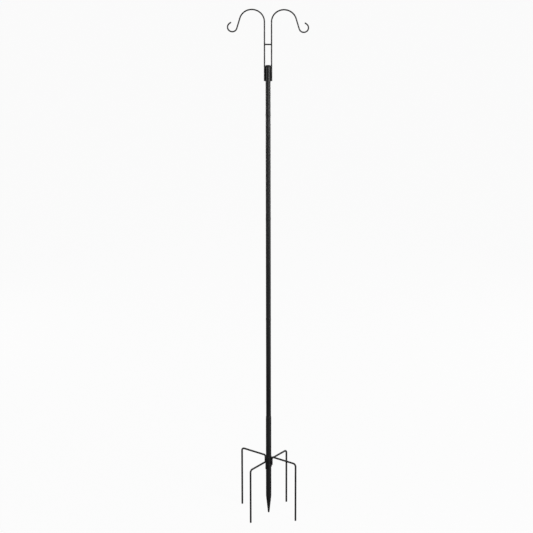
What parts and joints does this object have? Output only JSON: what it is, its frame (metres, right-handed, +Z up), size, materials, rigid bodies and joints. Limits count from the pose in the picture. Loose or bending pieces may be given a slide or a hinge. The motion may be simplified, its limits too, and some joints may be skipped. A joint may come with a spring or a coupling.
{
  "type": "bird feeder pole",
  "caption": "Tall black garden pole of slip-together tubes, with opposed shepherd's hooks at the top for hanging feeders and a pronged spike that pushes into the ground.",
  "frame": {"origin": "on the pole's axis, at the level of the spike's end and the four prongs' ends", "axes": "+Z up along the pole; +X towards the right-hand hook, so the two hooks lie in the XZ plane; +Y away from the viewer of the front"},
  "size_m": [0.347, 0.2312, 2.3369],
  "materials": {
    "hook_coat": "satin black powder coat",
    "pole_coat": "satin black powder coat",
    "base_coat": "satin black powder coat, slightly rougher",
    "cap_plastic": "matt black moulded plastic"
  },
  "bodies": {
    "ground_base": {"spike_tube": "base_coat", "prong_collar": "base_coat", "prong_front_right": "base_coat", "prong_back_left": "base_coat", "prong_back_right": "base_coat", "prong_front_left": "base_coat"},
    "lower_section": {"lower_tube": "pole_coat"},
    "middle_section": {"middle_tube": "pole_coat"},
    "upper_section": {"upper_tube": "pole_coat"},
    "hook_head": {"head_tube": "pole_coat", "hook_sleeve": "hook_coat", "sleeve_cap": "cap_plastic", "hook_left": "hook_coat", "hook_right": "hook_coat", "spreader_bar": "hook_coat"}
  },
  "joints": [
    {"name": "lower_lift", "type": "slide", "parent": "ground_base", "child": "lower_section", "axis": [0, 0, 1], "range_m": [0, 0.12]},
    {"name": "middle_lift", "type": "slide", "parent": "lower_section", "child": "middle_section", "axis": [0, 0, 1], "range_m": [0, 0.12]},
    {"name": "upper_lift", "type": "slide", "parent": "middle_section", "child": "upper_section", "axis": [0, 0, 1], "range_m": [0, 0.12]},
    {"name": "head_swivel", "type": "hinge", "parent": "upper_section", "child": "hook_head", "pos_m": [0, 0, 1.874], "axis": [0, 0, 1], "continuous": true}
  ]
}
